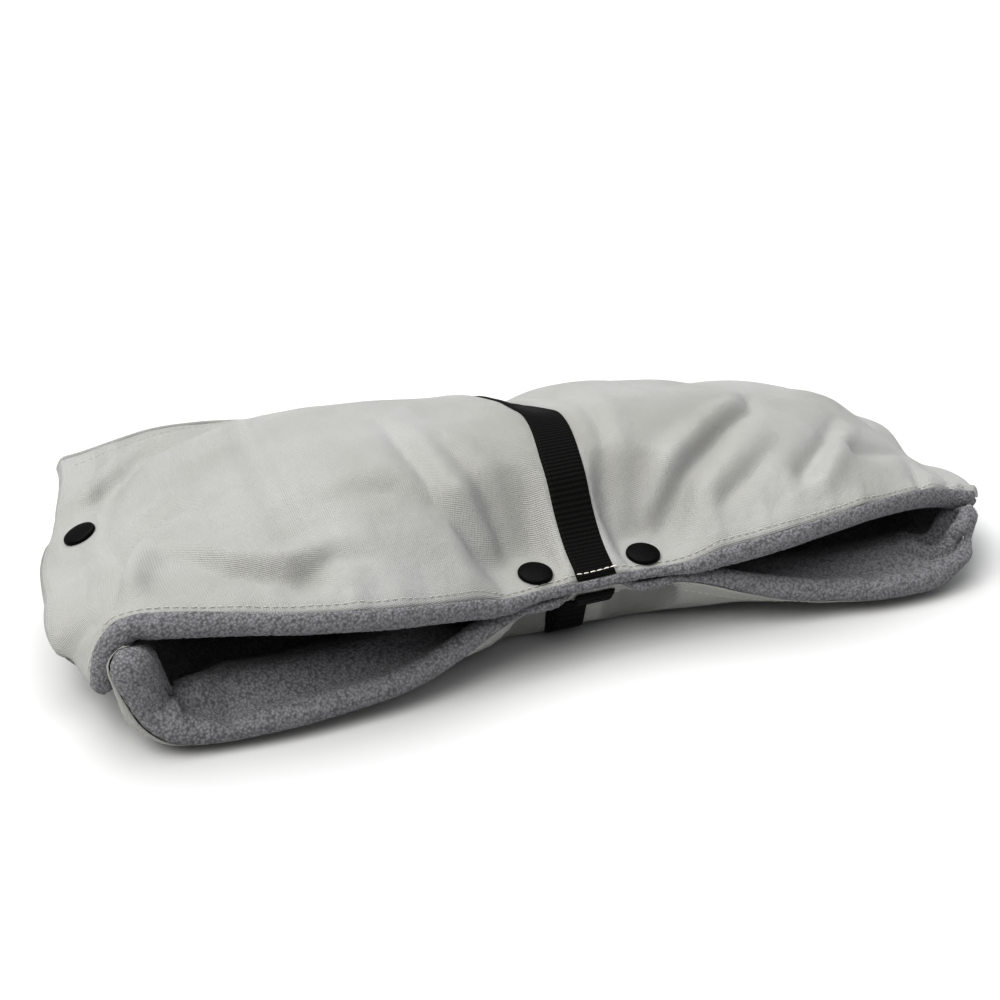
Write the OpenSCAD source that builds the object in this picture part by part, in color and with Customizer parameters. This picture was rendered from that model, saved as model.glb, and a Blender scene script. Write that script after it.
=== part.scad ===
// Fleece-lined hand warmer muff: a padded panel folded over a handlebar along its back edge,
// held shut by two press studs in the middle of the front and one at each end, which leaves a
// hand opening on either side of a webbing strap.

/* [Muff] */
// Half of the top panel's length at its widest, without its turned end hem
half_len = 231; // [215:1:240]
// Half of the bottom panel's length, which tucks inside the top panel's ends
half_len_bottom = 218; // [214:1:220]
// Distance from the centre of the muff to the seam in front of the fold
seam_y = 100; // [96:1:102]
// Distance that the fold bulges out behind its two seams
fold_bulge = 24; // [20:1:26]
// Thickness of a padded panel, with shell, wadding and fleece
panel_t = 11; // [10:0.5:11.5]

/* [Layers] */
// Thickness of the coated outer fabric
shell_t = 0.8; // [0.6:0.1:1]
// Thickness of the fleece lining
fleece_t = 2.2; // [1.8:0.1:2.4]
// Thickness of a panel where a press stud squeezes it
pinched_t = 5; // [4.8:0.1:5.2]
// Space between the two linings at a closed press stud
pinch_gap = 1; // [0.8:0.1:1.2]

/* [Strap] */
// Width of the webbing
strap_w = 20; // [16:1:22]
// Thickness of the webbing
strap_t = 1.4; // [1:0.1:1.6]

/* [Press studs] */
// Diameter of the visible cap
cap_d = 16; // [14:0.5:17]
// Distance of each front stud from the middle of the muff
front_stud_x = 27; // [24:1:30]
// Distance of the end studs from the middle of the muff
end_stud_x = 207; // [204:1:208]

/* [Hidden] */

shell_colour = [0.80, 0.80, 0.77];
fleece_colour = [0.44, 0.43, 0.45];
wadding_colour = [0.95, 0.95, 0.93];
webbing_colour = [0.04, 0.04, 0.04];
thread_colour = [0.86, 0.84, 0.76];
stud_colour = [0.06, 0.06, 0.06];
steel_colour = [0.70, 0.70, 0.72];

fit = 0.02;         // face-to-face clearance between two layers
nose_fit = 0.15;    // clearance inside the fleece's roll
nose_step = 0.08;   // share of the first grid row over which the wadding steps down to the roll
thread_w = 0.9;     // width of a row of topstitching
thread_h = 0.4;     // height that topstitching stands proud
thread_sunk = 0.1;  // depth that it sinks into the fabric
strap_bar_v = 0.03; // share of a panel's depth from its front edge to the bar on the webbing's end
hem_set_back = 2.4; // distance of the topstitching from the edge it holds
seam_set_back = 3;  // distance of the spine's topstitching from its seam
tab_w = 22;         // width of the webbing's folded lower end
strap_drift = -9;   // sideways run of the strap's lower end from the middle

// Driving stations along the muff: [x, value].
top_front_y = [[-231, -90], [-205, -92], [-180, -101], [-145, -112], [-100, -114], [-55, -106],
               [-27, -100], [27, -99], [60, -102], [105, -105], [152, -99], [190, -90], [231, -81]];
top_front_z = [[-231, 26], [-220, 39], [-205, 50], [-180, 56], [-145, 56], [-100, 51], [-55, 43],
               [-20, 41], [20, 41], [60, 44], [105, 50], [152, 53], [190, 51], [215, 46], [231, 39]];
crest_y = [[-231, 0], [-145, -14], [0, -20], [60, -18], [152, -6], [231, 8]];
crest_z = [[-231, 34], [-220, 42], [-205, 51], [-180, 67], [-145, 81], [-100, 89], [-55, 92],
           [0, 93], [27, 95], [60, 95], [105, 90], [152, 78], [190, 58], [212, 47], [231, 37]];
top_seam_z = [[-231, 56], [-180, 62], [-145, 62], [-100, 60], [-50, 54], [0, 49], [60, 48],
              [105, 49], [152, 49], [190, 47], [231, 43]];
bottom_front_y = [[-218, -92], [-204, -108], [-180, -120], [-150, -121.8], [-100, -118], [-60, -107],
                  [-30, -100], [30, -99], [60, -102], [100, -104], [150, -108], [180, -110],
                  [204, -106], [218, -98]];
bottom_front_z = [[-218, 6], [-180, 3], [-150, 4], [-100, 7], [-60, 16], [-40, 26], [-20, 30],
                  [20, 30], [40, 26], [60, 19], [100, 9], [150, 4], [180, 4], [218, 8]];

rear_power = 1.4;   // how evenly the top panel slopes from its crest to the seam: 1 is a straight slope
station_blur = 8;   // half the length over which the stations are rounded off
curl_start = 186;   // distance along the muff at which the bottom panel's end starts to curl up
curl_h = 11;        // height of that curl
front_rise = 52;    // depth over which the bottom panel climbs to its front edge

// Press studs: [x, y, height of the top cap's seat, tilt about X, tilt about Y], in degrees.
stud_y_front = -90;
stud_y_end = 28;
front_seat_z = 42;
end_seat_z = 44;
front_tilt = 11;
end_tilt = 24;
studs = [[-front_stud_x, stud_y_front, front_seat_z, front_tilt, 0],
         [front_stud_x, stud_y_front, front_seat_z, front_tilt, 0],
         [-end_stud_x, stud_y_end, end_seat_z, 0, -end_tilt],
         [end_stud_x, stud_y_end, end_seat_z, 0, end_tilt]];
pinch_flat_r = 12;          // radius round a stud within which a panel lies flat
pinch_far_front = 38;       // radius round a front stud at which a panel is free of the pinch
pinch_far_end = 52;         // the same for the top panel at an end stud
pinch_far_lift = 62;        // the same for the bottom panel, which an end stud lifts further
stack_t = 2 * pinched_t + pinch_gap;

// Grid on which every fabric layer is built.
half_columns = [0, 10, 18, 27, 37, 50, 68, 92, 118, 145, 168, 186, 197, 207, 217, 225, 231];
columns = concat([for (i = [len(half_columns) - 1:-1:1]) -half_columns[i]], half_columns);
rows = [0, 0.035, 0.075, 0.12, 0.18, 0.27, 0.38, 0.49, 0.56, 0.61, 0.66, 0.73, 0.82, 0.91, 1];
rows_bottom = [for (i = [len(rows) - 1:-1:0]) 1 - rows[i]];

// Rows past the seam run round the fold, as far as the fold line: 1 to 1.5 above it, 0 to -0.5 below.
fold_cut = 0.003;           // half the gap at the fold line, as a share of the spine's height
fold_rows = [0.1, 0.2, 0.3, 0.4, 0.5 - fold_cut];
spine_rows_upper = [for (v = concat([0], fold_rows)) 1 + v];
spine_rows_lower = [for (i = [len(fold_rows) - 1:-1:0]) -fold_rows[i], 0];
rows_to_fold = concat(rows, [for (v = fold_rows) 1 + v]);
rows_from_fold = concat([for (i = [len(fold_rows) - 1:-1:0]) -fold_rows[i]], rows_bottom);

function ease(t) = let (c = min(1, max(0, t))) c * c * (3 - 2 * c);
function clamp(t, limit) = min(limit, max(-limit, t));
function mix(a, b, w) = a + (b - a) * w;
function unit(v) = v / norm(v);
function at(table, x) =
    (lookup(x - station_blur, table) + 2 * lookup(x, table) + lookup(x + station_blur, table)) / 4;

// How much the fabric is pinched at a distance from a stud: 1 at the stud, 0 well away from it.
function pinch(distance, far) = 1 - ease((distance - pinch_flat_r) / (far - pinch_flat_r));
// Where the axes of the front and end studs cross the face that is a depth below the caps' seats.
function front_axis_y(depth) = stud_y_front + depth * sin(front_tilt);
function end_axis_x(depth) = end_stud_x - depth * sin(end_tilt);
// The front studs pinch all that lies between them.
function front_pinch(x, y, depth, far) =
    pinch(norm([max(0, abs(x) - front_stud_x), y - front_axis_y(depth)]), far);
function end_pinch(x, y, depth, far) = pinch(norm([abs(x) - end_axis_x(depth), y - stud_y_end]), far);
// Height of the flat seat round a stud at that depth.
function front_seat(y, depth) = front_seat_z - depth * cos(front_tilt)
    + clamp(y - front_axis_y(depth), pinch_flat_r) * tan(front_tilt);
function end_seat(x, depth) = end_seat_z - depth * cos(end_tilt)
    - clamp(abs(x) - end_axis_x(depth), pinch_flat_r) * tan(end_tilt);
// A panel's height once its studs have pulled it to their seats.
function pulled(z, x, y, depth, far) =
    mix(mix(z, front_seat(y, depth), front_pinch(x, y, depth, pinch_far_front)),
        end_seat(x, depth), end_pinch(x, y, depth, far));

// Length factor that rounds a panel's corners and narrows it towards the fold.
function end_taper(v, corner, from) =
    1 - corner * pow(max(0, 1 - v / 0.22), 2) - 0.14 * ease((v - from) / (1.02 - from));

function top_point(x, v) =
    let (front = at(top_front_y, x), crest = at(crest_y, x),
         y = mix(front, seam_y, v),
         zf = at(top_front_z, x), zc = at(crest_z, x), zs = at(top_seam_z, x),
         z = y < crest ? zf + (zc - zf) * sin(90 * (y - front) / (crest - front))
                       : zc - (zc - zs) * pow((y - crest) / (seam_y - crest), rear_power),
         px = x * end_taper(v, 0.035, 0.42))
    [px, y, pulled(z, px, y, 0, pinch_far_end)];

function strap_lift(x) = (strap_t + fit) * (1 - ease((abs(x) - strap_w / 2) / 12));

function bottom_point(x, v) =
    let (front = at(bottom_front_y, x), y = mix(seam_y, front, v),
         rise = pow(max(0, (front + front_rise - y) / front_rise), 2),
         curl = curl_h * ease((abs(x) - curl_start) / (half_len_bottom - curl_start))
                * (1 - ease((y - 40) / 50)) * mix(0.3, 1, ease((y + 90) / 70)),
         seam_lift = (thread_h + 2 * fit) * (1 - ease(v / 0.16)),
         px = x * end_taper(1 - v, 0.055, 0.62),
         z = at(bottom_front_z, x) * rise + curl + seam_lift + strap_lift(px))
    [px, y, max(0, pulled(z, px, y, stack_t, pinch_far_lift))];

function spine_point(x, v) =
    let (top = top_point(x, 1), low = bottom_point(x * half_len_bottom / half_len, 0),
         middle = (top[2] + low[2]) / 2, half = (top[2] - low[2]) / 2)
    [mix(top[0], low[0], v), seam_y + fold_bulge * sin(180 * v), middle + half * cos(180 * v)];

// Any place on the outer face: kind is "top" or "bottom".
function point(kind, x, v) =
    kind == "top" ? (v <= 1 ? top_point(x, v) : spine_point(x, v - 1))
                  : (v >= 0 ? bottom_point(x * half_len_bottom / half_len, v) : spine_point(x, 1 + v));

// Unit directions along the columns and across the rows, and the outward unit normal.
step = 0.6;
function along(kind, x, v) = unit(point(kind, x + step, v) - point(kind, x - step, v));
function across(kind, x, v) = let (h = step / 120) unit(point(kind, x, v + h) - point(kind, x, v - h));
function normal(kind, x, v) = unit(cross(along(kind, x, v), across(kind, x, v)));
function thickness(kind, p) =
    let (depth = kind == "top" ? 0 : stack_t,
         squeeze = max(front_pinch(p[0], p[1], depth, pinch_far_front),
                       end_pinch(p[0], p[1], depth, pinch_far_lift)))
    mix(panel_t, pinched_t, squeeze);

// A point at a share of the way through the panel's thickness, plus an extra distance in mm.
function layer_point(kind, x, v, share, extra) =
    let (p = point(kind, x, v)) p - normal(kind, x, v) * (share * thickness(kind, p) + extra);

// Where the fabric turns round the panel's edge: angle 0 is the outer face and 180 the inner.
function turned(p, n, t, out, angle, inset) =
    p - n * t / 2 + (t / 2 - inset) * (cos(angle) * n + sin(angle) * out);

// Solid between two grids of points, outer[i][j] and inner[i][j].
module sheet(outer, inner) {
    nu = len(outer);
    nv = len(outer[0]);
    total = nu * nv;
    points = concat([for (c = outer) for (p = c) p], [for (c = inner) for (p = c) p]);
    function a(i, j) = i * nv + j;
    function b(i, j) = total + i * nv + j;
    faces = concat(
        [for (i = [0:nu - 2]) for (j = [0:nv - 2])
            each [[a(i, j), a(i, j + 1), a(i + 1, j + 1)], [a(i, j), a(i + 1, j + 1), a(i + 1, j)],
                  [b(i, j), b(i + 1, j + 1), b(i, j + 1)], [b(i, j), b(i + 1, j), b(i + 1, j + 1)]]],
        [for (i = [0:nu - 2])
            each [[a(i, 0), a(i + 1, 0), b(i + 1, 0)], [a(i, 0), b(i + 1, 0), b(i, 0)],
                  [a(i + 1, nv - 1), a(i, nv - 1), b(i, nv - 1)],
                  [a(i + 1, nv - 1), b(i, nv - 1), b(i + 1, nv - 1)]]],
        [for (j = [0:nv - 2])
            each [[a(0, j + 1), a(0, j), b(0, j)], [a(0, j + 1), b(0, j), b(0, j + 1)],
                  [a(nu - 1, j), a(nu - 1, j + 1), b(nu - 1, j + 1)],
                  [a(nu - 1, j), b(nu - 1, j + 1), b(nu - 1, j)]]]);
    polyhedron(points, faces);
}

// A plain layer: share and extra place its outer and inner faces in the panel.
module layer(kind, xs, vs, outer, inner) {
    sheet([for (x = xs) [for (v = vs) layer_point(kind, x, v, outer[0], outer[1])]],
          [for (x = xs) [for (v = vs) layer_point(kind, x, v, inner[0], inner[1])]]);
}

// The outer fabric, turned round both ends of the panel to its inner side.
module shell_layer(kind, vs) {
    function column(x, angle, inset) =
        [for (v = vs) let (p = point(kind, x, v), n = normal(kind, x, v))
            turned(p, n, thickness(kind, p), sign(x) * along(kind, x, v), angle, inset)];
    hem = [150, 100, 50];
    function grid(inset) = concat(
        [for (angle = hem) column(columns[0], angle, inset)],
        [for (x = columns) column(x, 0, inset)],
        [for (i = [2:-1:0]) column(columns[len(columns) - 1], hem[i], inset)]);
    sheet(grid(0), grid(shell_t));
}

// The fleece, turned over the panel's front edge and sewn to the shell on the outer side.
module lining_layer(kind, front, vs) {
    toward = front == 0 ? -1 : 1;
    function column(x, inset) =
        let (p = point(kind, x, front), n = normal(kind, x, front),
             out = toward * across(kind, x, front),
             rolled = [for (angle = [0, 60, 120]) turned(p, n, thickness(kind, p), out, angle, inset)],
             flat = [for (v = vs) layer_point(kind, x, v, 1, -inset)])
        front == 0 ? concat(rolled, flat) : concat(flat, [rolled[2], rolled[1], rolled[0]]);
    sheet([for (x = columns) column(x, fleece_t)], [for (x = columns) column(x, 0)]);
}

// The wadding between them, with a round nose inside the fleece's roll.
module padding_layer(kind, front, vs) {
    toward = front == 0 ? -1 : 1;
    next = front == 0 ? vs[1] : vs[len(vs) - 2];
    function face(x, v, outer) = outer ? layer_point(kind, x, v, 0, shell_t + fit)
                                       : layer_point(kind, x, v, 1, -fleece_t - fit);
    function column(x, outer) =
        let (p = point(kind, x, front), n = normal(kind, x, front), t = thickness(kind, p),
             out = toward * across(kind, x, front),
             nose = [for (angle = [60, 0])
                 turned(p, n, t, out, outer ? angle : 180 - angle, fleece_t + nose_fit)],
             flat = [for (v = vs)
                 v == front ? mix(face(x, v, outer), face(x, next, outer), nose_step) : face(x, v, outer)])
        front == 0 ? concat(nose, flat) : concat(flat, [nose[1], nose[0]]);
    sheet([for (x = columns) column(x, true)], [for (x = columns) column(x, false)]);
}

// Row of topstitching along the muff, set back from grid row edge towards grid row next.
module stitch_row(kind, edge, next, set_back) {
    function column(x, w, out) =
        mix(layer_point(kind, x, edge, 0, out), layer_point(kind, x, next, 0, out), w);
    w = set_back / (200 * abs(next - edge));
    dw = thread_w / (400 * abs(next - edge));
    side = next > edge ? 1 : -1;
    function grid(out) = [for (x = columns) [column(x, w - side * dw, out), column(x, w + side * dw, out)]];
    color(thread_colour) sheet(grid(-thread_h), grid(thread_sunk));
}

// Places its children on a stud's axis, with the top shell's outer face at height 0.
module on_stud(i) {
    translate([studs[i][0], studs[i][1], studs[i][2]])
        rotate([studs[i][3], studs[i][4], 0]) children();
}

// Press stud parts: radii, and depths below the cap's seat of the socket's top and the male half's foot.
post_r = 1.7;
socket_r = 6.2;
socket_top = pinched_t - fleece_t;
stud_foot = stack_t - socket_top;

// Holes on the studs' axes, between two depths below the caps' seats.
module stud_holes(radius, from, to) {
    for (i = [0:3]) on_stud(i) translate([0, 0, -to]) cylinder(h = to - from, r = radius, $fn = 24);
}

module top_shell() {
    color(shell_colour) difference() {
        shell_layer("top", rows);
        stud_holes(post_r + 0.1, -3, socket_top);
    }
}

module top_padding() {
    color(wadding_colour) difference() {
        padding_layer("top", 0, rows_to_fold);
        stud_holes(post_r + 0.1, -3, 7);
    }
}

module top_lining() {
    color(fleece_colour) difference() {
        lining_layer("top", 0, rows_to_fold);
        stud_holes(socket_r + 0.3, socket_top - 1, 9);
    }
}

// The shell's strip round the fold is one piece of fabric, cut here at the fold line.
module spine_shell_upper() {
    color(shell_colour) shell_layer("top", spine_rows_upper);
}

module spine_shell_lower() {
    color(shell_colour) shell_layer("bottom", spine_rows_lower);
}

module bottom_shell() {
    color(shell_colour) difference() {
        shell_layer("bottom", rows_bottom);
        stud_holes(post_r + 0.1, stud_foot, stack_t + 3);
    }
}

module bottom_padding() {
    color(wadding_colour) difference() {
        padding_layer("bottom", 1, rows_from_fold);
        stud_holes(post_r + 0.1, pinched_t, stack_t + 3);
    }
}

module bottom_lining() {
    color(fleece_colour) difference() {
        lining_layer("bottom", 1, rows_from_fold);
        stud_holes(socket_r + 0.3, pinched_t - 3, stud_foot + 1);
    }
}

strap_xs = [-strap_w / 2, 0, strap_w / 2];

module strap(kind, vs) {
    color(webbing_colour)
        layer(kind, strap_xs, vs, [0, -strap_t - fit], [0, -fit]);
}

module strap_top() { strap("top", rows); }

module strap_spine_upper() { strap("top", spine_rows_upper); }

module strap_spine_lower() { strap("bottom", spine_rows_lower); }

// The lower strap drifts sideways as it climbs to the front edge.
module strap_bottom() {
    vs = [for (v = rows_bottom) if (v < 0.99) v];
    function grid(out) = [for (x = strap_xs) [for (v = vs)
        layer_point("bottom", x + strap_drift * ease((v - 0.7) / 0.3), v, 0, out)]];
    color(webbing_colour) sheet(grid(-strap_t - fit), grid(-fit));
}

tab_xs = [-tab_w / 4, tab_w / 4, tab_w * 3 / 4];

module strap_end_tab() {
    color(webbing_colour)
        layer("bottom", tab_xs, [0.945, 0.97, 0.995], [0, -2 * strap_t - 3 * fit], [0, -strap_t - 2 * fit]);
}

module topstitch_top_front() { stitch_row("top", rows[0], rows[1], hem_set_back); }

module topstitch_top_spine() { stitch_row("top", 1, rows[len(rows) - 2], seam_set_back); }

module topstitch_bottom_front() {
    stitch_row("bottom", 1, rows_bottom[len(rows) - 2], hem_set_back);
}

module topstitch_bottom_spine() { stitch_row("bottom", 0, rows_bottom[1], seam_set_back); }

// Bars of stitching that hold the webbing's two ends.
module bar_stitch(kind, xs, v, height) {
    color(thread_colour)
        layer(kind, xs, [v - 0.003, v + 0.003], [0, -height - thread_h], [0, -height + thread_sunk]);
}

module strap_stitch_top() { bar_stitch("top", strap_xs, strap_bar_v, strap_t); }

module strap_stitch_bottom() { bar_stitch("bottom", tab_xs, 1 - strap_bar_v, 2 * strap_t); }

// Domed cap with a rolled rim and the post that is riveted through the fabric.
module stud_cap() {
    r = cap_d / 2;
    rotate_extrude($fn = 40)
        polygon([[0, -socket_top + 0.6], [post_r, -socket_top + 0.6], [post_r, 0], [r - 0.5, 0], [r, 0.5],
                 [r, 1], [r - 0.4, 1.5], [r - 1.3, 1.7], [r * 0.55, 2.0], [0, 2.2]]);
}

// Female half, seated in the top panel's fleece, with a groove for its ring spring.
module stud_socket() {
    top = -socket_top;
    rotate_extrude($fn = 40)
        polygon([[0, top], [socket_r, top], [socket_r, top - 0.7], [5, top - 0.9], [4.7, top - 3],
                 [4.2, top - 3.3], [2.95, top - 3.3], [2.95, top - 2.6], [3.5, top - 2.6],
                 [3.5, top - 1.8], [2.95, top - 1.8], [2.95, top - 1], [0, top - 1]]);
}

// Split ring spring in the socket's groove.
module stud_spring() {
    translate([0, 0, -socket_top - 2.2])
        rotate_extrude(angle = 320, $fn = 32) translate([3.2, 0]) circle(r = 0.25, $fn = 16);
}

// Male half, seated in the bottom panel's fleece, with its nose in the socket.
module stud_nose() {
    foot = -stud_foot;
    tip = -socket_top - 1.3;
    rotate_extrude($fn = 40)
        polygon([[0, foot], [socket_r - 0.2, foot], [socket_r - 0.2, foot + 0.7], [3.4, foot + 0.9],
                 [2.4, foot + 1.2], [2.4, tip - 1.2], [2.7, tip - 0.7], [2.5, tip - 0.1], [0, tip]]);
}

// Cap on the underside of the bottom panel, whose post holds the male half.
module stud_base() {
    r = cap_d / 2 - 0.5;
    translate([0, 0, -stack_t]) mirror([0, 0, 1]) rotate_extrude($fn = 40)
        polygon([[0, -socket_top + 0.02], [post_r, -socket_top + 0.02], [post_r, 0], [r - 0.5, 0], [r, 0.4],
                 [r, 0.8], [r - 0.4, 1.2], [r * 0.6, 1.5], [0, 1.6]]);
}

top_shell();
top_padding();
top_lining();
spine_shell_upper();
bottom_shell();
bottom_padding();
bottom_lining();
spine_shell_lower();
strap_top();
strap_spine_upper();
strap_spine_lower();
strap_bottom();
strap_end_tab();
topstitch_top_front();
topstitch_top_spine();
strap_stitch_top();
topstitch_bottom_front();
topstitch_bottom_spine();
strap_stitch_bottom();

places = ["front_left", "front_right", "end_left", "end_right"];
for (i = [0:3]) {
    color(stud_colour) on_stud(i) stud_cap();
    color(stud_colour) on_stud(i) stud_socket();
    color(steel_colour) on_stud(i) stud_spring();
    color(stud_colour) on_stud(i) stud_nose();
    color(stud_colour) on_stud(i) stud_base();
}
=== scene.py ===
import math

import bmesh
import bpy
import numpy as np
from mathutils import Euler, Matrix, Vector


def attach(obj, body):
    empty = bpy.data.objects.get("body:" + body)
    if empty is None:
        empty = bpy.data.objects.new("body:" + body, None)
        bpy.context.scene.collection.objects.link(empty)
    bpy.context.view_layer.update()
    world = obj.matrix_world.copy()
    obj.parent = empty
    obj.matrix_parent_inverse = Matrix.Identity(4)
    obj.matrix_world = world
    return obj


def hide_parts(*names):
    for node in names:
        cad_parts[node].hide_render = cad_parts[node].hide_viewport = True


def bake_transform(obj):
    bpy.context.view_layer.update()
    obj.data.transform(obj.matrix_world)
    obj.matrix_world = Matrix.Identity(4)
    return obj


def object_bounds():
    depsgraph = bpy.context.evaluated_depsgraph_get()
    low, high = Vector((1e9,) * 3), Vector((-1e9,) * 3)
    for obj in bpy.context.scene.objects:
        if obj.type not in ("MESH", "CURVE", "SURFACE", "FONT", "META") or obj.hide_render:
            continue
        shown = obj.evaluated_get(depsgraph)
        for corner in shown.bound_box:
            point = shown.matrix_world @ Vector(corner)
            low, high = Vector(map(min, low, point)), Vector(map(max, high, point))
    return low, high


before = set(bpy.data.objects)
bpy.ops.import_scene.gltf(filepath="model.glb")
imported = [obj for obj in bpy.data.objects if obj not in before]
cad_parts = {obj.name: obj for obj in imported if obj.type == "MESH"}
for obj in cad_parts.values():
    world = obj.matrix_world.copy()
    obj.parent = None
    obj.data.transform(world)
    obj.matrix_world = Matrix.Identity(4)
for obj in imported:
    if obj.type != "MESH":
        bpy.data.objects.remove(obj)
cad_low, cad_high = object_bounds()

# Lengths in the shape functions are millimetres, as in the CAD; MM turns them into metres.
MM = 0.001
TAU = 2 * math.pi

# ------------ driving sizes, as in the CAD
HALF_LEN = 231.0            # half of the top panel, without its end hem
HALF_LEN_BOTTOM = 218.0     # half of the bottom panel
SEAM_Y = 100.0              # seam in front of the fold
FOLD_BULGE = 24.0           # distance the fold bulges out behind the seams
PANEL_T, PINCHED_T, PINCH_GAP = 11.0, 5.0, 1.0
STACK_T = 2 * PINCHED_T + PINCH_GAP
SHELL_T, FLEECE_T = 0.6, 2.0
STRAP_W, STRAP_T = 20.0, 1.4
CAP_R, CAP_H = 8.0, 2.2
BASE_R, BASE_H = 7.5, 1.7
PANEL_RUN = 200.0           # nominal distance from a panel's front edge to its seam

CURL_START, CURL_H = 186.0, 11.0
STRAP_DRIFT = -9.0
FRONT_STUD_X, STUD_Y_FRONT, FRONT_SEAT_Z, FRONT_TILT = 27.0, -90.0, 42.0, math.radians(11)
END_STUD_X, STUD_Y_END, END_SEAT_Z, END_TILT = 207.0, 28.0, 44.0, math.radians(24)
PINCH_FLAT_R, PINCH_FAR_FRONT, PINCH_FAR_END, PINCH_FAR_LIFT = 12.0, 38.0, 52.0, 62.0
PINCH_FAR_UNDER = 20.0      # the same under the bottom panel's front, which falls away steeply

# ------------ driving stations along the muff
GRID_X = np.arange(-260.0, 261.0)
BLUR = 9.0                  # standard deviation of the rounding between stations


def stations(*pairs):
    """A smooth curve through (x, value) stations, sampled on GRID_X."""
    reach = int(3 * BLUR)
    kernel = np.exp(-0.5 * (np.arange(-reach, reach + 1) / BLUR) ** 2)
    xs, values = zip(*pairs)
    padded = np.pad(np.interp(GRID_X, xs, values), reach, mode="edge")
    return np.convolve(padded, kernel / kernel.sum(), "valid")


TOP_FRONT_Y = stations((-231, -90), (-205, -92), (-180, -101), (-145, -112), (-100, -114), (-55, -106),
                       (-27, -100), (27, -99), (60, -102), (105, -105), (152, -99), (190, -90), (231, -81))
TOP_FRONT_Z = stations((-231, 56), (-205, 60), (-180, 60), (-145, 56), (-100, 51), (-55, 43),
                       (-20, 39), (20, 40), (60, 44), (105, 50), (152, 53), (190, 51), (215, 46), (231, 39))
CREST_Y = stations((-231, 0), (-145, -14), (0, -20), (60, -18), (152, -6), (231, 8))
CREST_Z = stations((-231, 36), (-220, 43), (-205, 52), (-180, 68), (-145, 83), (-100, 91), (-55, 93), (0, 93),
                   (27, 94), (60, 94), (105, 88), (152, 78), (190, 58), (212, 45), (231, 36))
TOP_SEAM_Z = stations((-231, 54), (-180, 62), (-145, 61), (-100, 56), (-50, 50), (0, 47), (60, 46),
                      (105, 46), (152, 45), (190, 40), (231, 35))
REAR_POWER = stations((-231, 1.4), (-170, 1.5), (-115, 2.1), (150, 2.1), (231, 1.5))
BOTTOM_FRONT_Y = stations((-218, -99), (-204, -103), (-180, -113), (-150, -114), (-100, -111), (-60, -104),
                          (-30, -99), (30, -98), (60, -100), (100, -103), (150, -107), (180, -107),
                          (204, -99), (218, -89))
BOTTOM_FRONT_Z = stations((-218, 9), (-204, 6), (-180, 3), (-150, 4), (-100, 7), (-70, 14), (-50, 24),
                          (-30, 31), (0, 32), (30, 32), (50, 27), (70, 19), (100, 10), (150, 4), (180, 4),
                          (218, 6))
FRONT_RISE = stations((-218, 52), (-100, 46), (-40, 36), (40, 37), (110, 46), (218, 52))
# The stuffed cover stands a little higher or lower than the CAD's plain panel behind its crest.
SETTLE = stations((-231, 0), (-190, 1.5), (-165, 2), (-90, 2.4), (-60, 2), (-30, 0.2), (0, -2.5), (60, -3),
                  (122, -6), (144, -6), (165, 0.5), (231, 0))

GROOVE_DEPTH, PUFF_H, DROOP_FRONT, DROOP_CREST = 6.5, 5, 7, 14

# Creases and puffs of the covers, seen from above: points, height (below 0 for a crease), half width,
# and the height of the ridge that a crease throws up on its left side (below 0 for its right side).
TOP_CREASES = [
    ([(-200, 44), (-186, 56), (-165, 70), (-130, 66)], -6.0, 5.5, 3.6),
    ([(-218, -80), (-211, -56), (-199, -32), (-178, -22), (-158, -30)], -10.0, 6, -7.0),
    ([(-124, -99), (-150, -89), (-166, -80), (-178, -64), (-190, -52)], -6.5, 5, -4.6),
    ([(-142, -98), (-122, -88), (-100, -92)], -2.8, 4.5, 1.8),
    ([(-236, -54), (-216, -68)], -3.4, 4, 0),
    ([(-109, 64), (-146, 73)], -2.6, 8, 1.8),
    ([(-33, -88), (-50, -82), (-64, -67), (-69, -40), (-72, -2)], -4.4, 5.5, -3.2),
    ([(-54, -79), (-82, -60), (-112, -56)], -2.6, 6, -2.0),
    ([(-31, -84), (-42, -58), (-54, -34)], -2.2, 4, -1.4),
    ([(14, -78), (24, -52), (30, -14)], -2.6, 5, -1.6),
    ([(33, -82), (52, -75), (76, -61), (112, -36), (128, -8)], -7.5, 4.6, 4.4),
    ([(66, -88), (90, -76), (118, -58)], -3.0, 4.5, 2.2),
    ([(112, -84), (143, -58), (168, -28)], -6.0, 4.6, -4.0),
    ([(150, -64), (168, -61), (194, -50)], -4.4, 5, 0),
    ([(178, -90), (188, -68), (190, -52)], -2.4, 3.5, -1.4),
    ([(212, -70), (222, -40)], -2.4, 4, 1.4),
    ([(196, 16), (180, 4), (160, 10)], -3.0, 5, 2.0),
]


def at(table, x):
    return np.interp(x, GRID_X, table)


def ease(t):
    c = np.clip(t, 0, 1)
    return c * c * (3 - 2 * c)


def rise(value, start, end):
    """0 at start and before it, 1 at end and past it, and smooth between them."""
    return ease((value - start) / (end - start))


def bell(*terms, power=2):
    """1 at a place and near 0 away from it. Each term is (value, centre, half width)."""
    return np.exp(-sum(((value - centre) / width) ** power for value, centre, width in terms))


def mix(a, b, w):
    return a + (b - a) * w


def unit(v):
    return v / np.maximum(np.linalg.norm(v, axis=-1, keepdims=True), 1e-9)


# ------------ the panels' shape
def pinch(distance, far):
    """How much the fabric is pinched at a distance from a stud: 1 at the stud, 0 well away from it."""
    return 1 - rise(distance, PINCH_FLAT_R, far)


def front_axis_y(depth):
    return STUD_Y_FRONT + depth * math.sin(FRONT_TILT)


def end_axis_x(depth):
    return END_STUD_X - depth * math.sin(END_TILT)


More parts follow.
